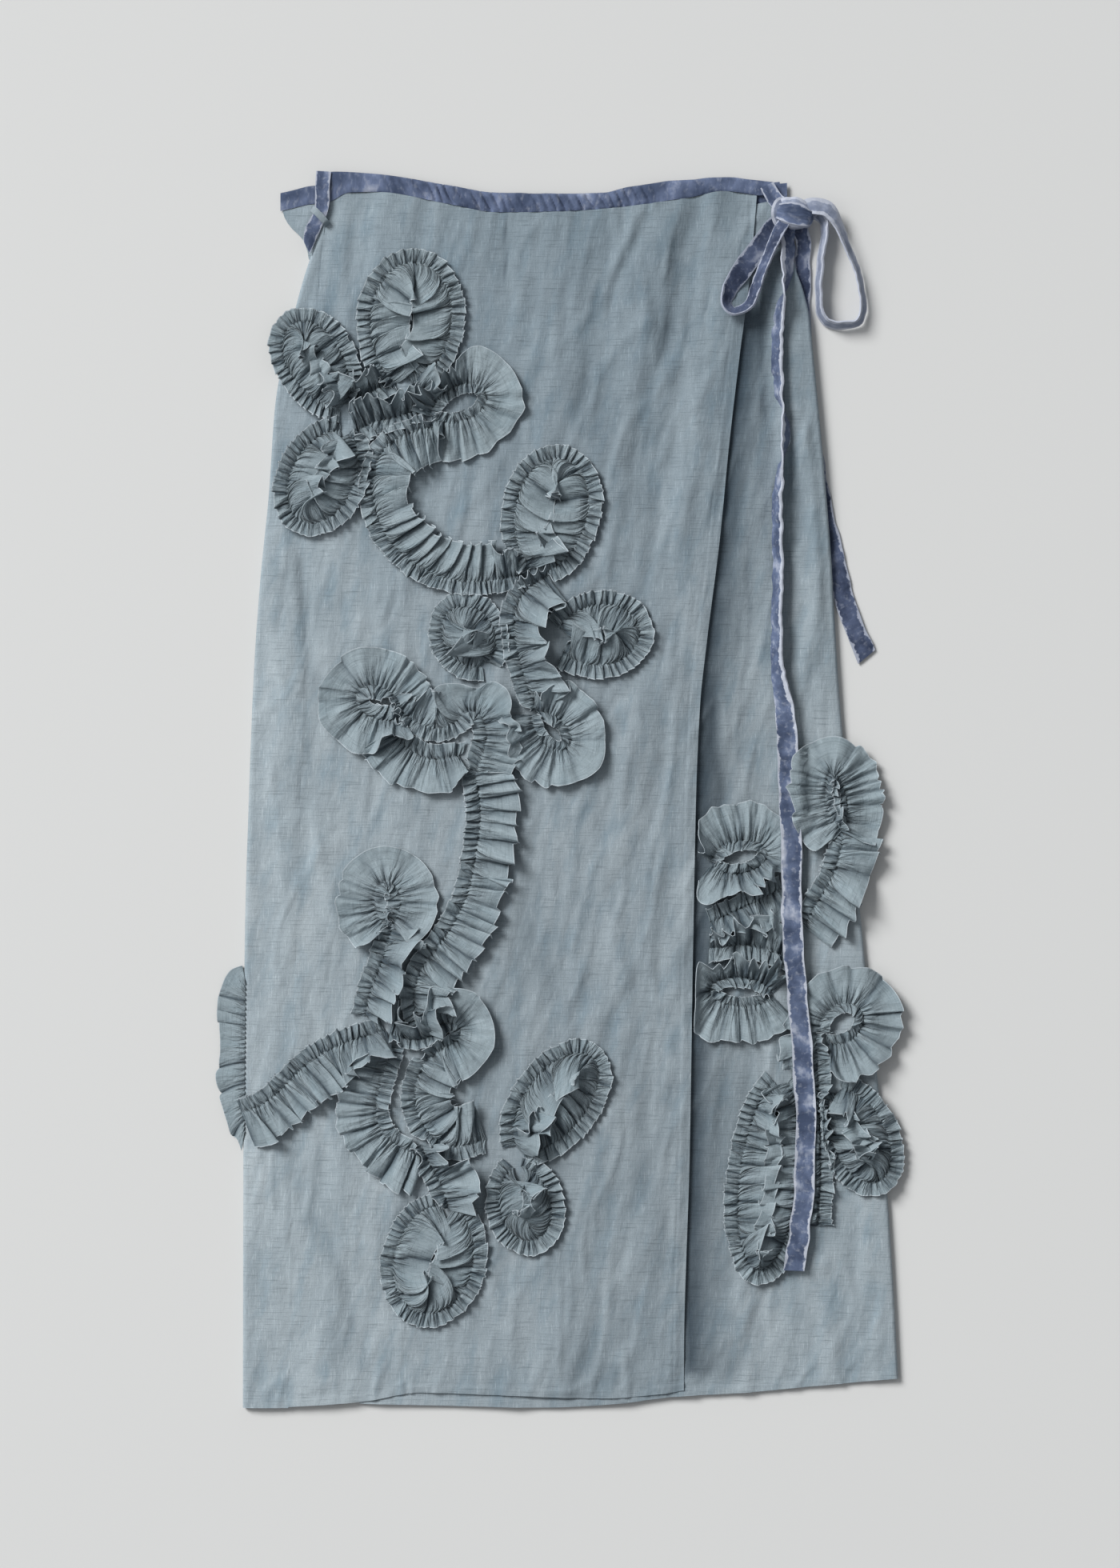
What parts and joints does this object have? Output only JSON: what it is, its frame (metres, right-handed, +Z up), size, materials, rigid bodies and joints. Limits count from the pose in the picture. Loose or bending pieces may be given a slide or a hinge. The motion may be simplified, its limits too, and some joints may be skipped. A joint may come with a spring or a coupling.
{
  "type": "wrap skirt",
  "caption": "Long wrap skirt of thin plain-weave cloth laid flat, velvet-bound waist tied in a side bow, gathered strips sewn on as looped flowers.",
  "frame": {"origin": "middle of the laid skirt's outline, on the surface that it lies on", "axes": "+Y towards the waist, +X towards the bow, +Z up out of the surface, through the front"},
  "size_m": [0.4634, 0.836, 0.0186],
  "materials": {
    "ramie": "thin plain weave with slubs, soft sheen",
    "ruffle_cloth": "gathered plain weave, matte",
    "velvet": "cut velvet pile, crushed"
  },
  "bodies": {
    "root": {"back_panel": "ramie", "bow_left": "velvet", "bow_right": "velvet", "front_panel": "ramie", "knot": "velvet", "ruffle_edge": "ruffle_cloth", "ruffle_lower_bend": "ruffle_cloth", "ruffle_lower_centre": "ruffle_cloth", "ruffle_lower_end": "ruffle_cloth", "ruffle_lower_fan_left": "ruffle_cloth", "ruffle_lower_fan_right": "ruffle_cloth", "ruffle_lower_link": "ruffle_cloth", "ruffle_lower_right": "ruffle_cloth", "ruffle_lower_rosette": "ruffle_cloth", "ruffle_lower_stem": "ruffle_cloth", "ruffle_middle_arch": "ruffle_cloth", "ruffle_middle_fan_left": "ruffle_cloth", "ruffle_middle_fan_low": "ruffle_cloth", "ruffle_middle_right": "ruffle_cloth", "ruffle_middle_row": "ruffle_cloth", "ruffle_middle_small": "ruffle_cloth", "ruffle_middle_stem": "ruffle_cloth", "ruffle_middle_tall": "ruffle_cloth", "ruffle_rosette_stem": "ruffle_cloth", "ruffle_side_branch": "ruffle_cloth", "ruffle_side_centre": "ruffle_cloth", "ruffle_side_fan_left": "ruffle_cloth", "ruffle_side_fan_low": "ruffle_cloth", "ruffle_side_fan_right": "ruffle_cloth", "ruffle_side_fan_top": "ruffle_cloth", "ruffle_side_long": "ruffle_cloth", "ruffle_side_low": "ruffle_cloth", "ruffle_side_row": "ruffle_cloth", "ruffle_side_stem": "ruffle_cloth", "ruffle_side_top_row": "ruffle_cloth", "ruffle_upper_fan": "ruffle_cloth", "ruffle_upper_heart": "ruffle_cloth", "ruffle_upper_lead": "ruffle_cloth", "ruffle_upper_left": "ruffle_cloth", "ruffle_upper_link": "ruffle_cloth", "ruffle_upper_low": "ruffle_cloth", "ruffle_upper_stem": "ruffle_cloth", "ruffle_upper_top": "ruffle_cloth", "side_loop": "ramie", "tie_front": "velvet", "tie_long": "velvet", "tie_short": "velvet", "tie_side": "velvet", "under_panel": "ramie", "waistband_back": "velvet", "waistband_front": "velvet", "waistband_under": "velvet"}
  },
  "joints": []
}
